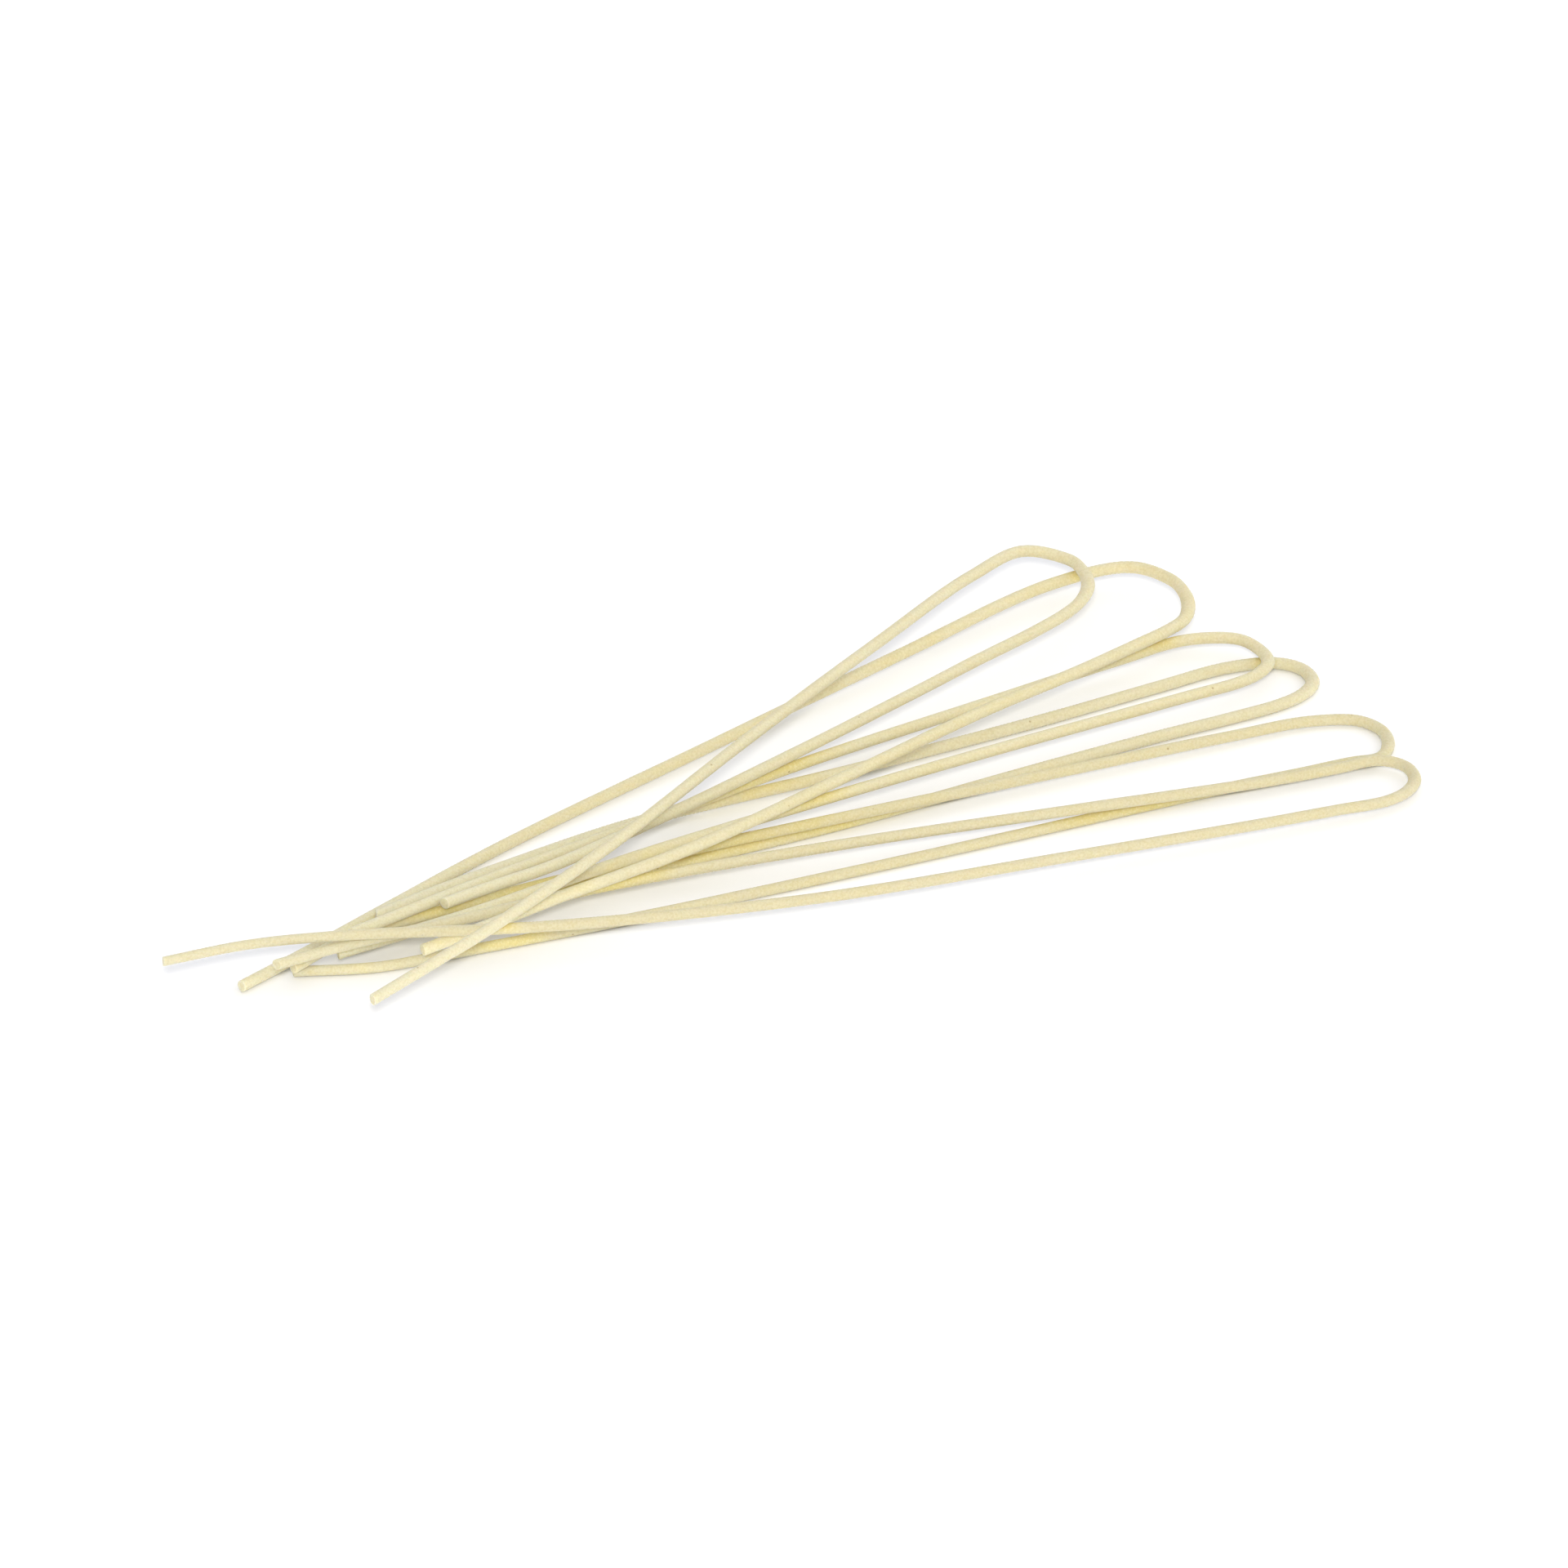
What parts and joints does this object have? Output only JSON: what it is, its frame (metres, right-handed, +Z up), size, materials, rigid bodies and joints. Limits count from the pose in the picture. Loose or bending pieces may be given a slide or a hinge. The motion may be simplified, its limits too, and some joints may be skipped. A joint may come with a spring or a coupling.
{
  "type": "bundle of spaghettoni",
  "caption": "Loose bundle of thick dried spaghetti strands, each folded into a long hairpin, fanned out at the bends and crossing in a low pile at the cut ends.",
  "frame": {"origin": "on the surface the bundle lies on, under the middle of its bounding box", "axes": "+X from the pile of cut ends towards the bends, +Y away from the viewer across the fan, +Z up"},
  "size_m": [0.268, 0.2062, 0.0146],
  "materials": {
    "dried_pasta": "matt, finely rough, slightly translucent dried semolina dough, pale cream yellow"
  },
  "bodies": {
    "root": {"strand_a": "dried_pasta", "strand_b": "dried_pasta", "strand_c": "dried_pasta", "strand_d": "dried_pasta", "strand_e": "dried_pasta", "strand_f": "dried_pasta"}
  },
  "joints": []
}
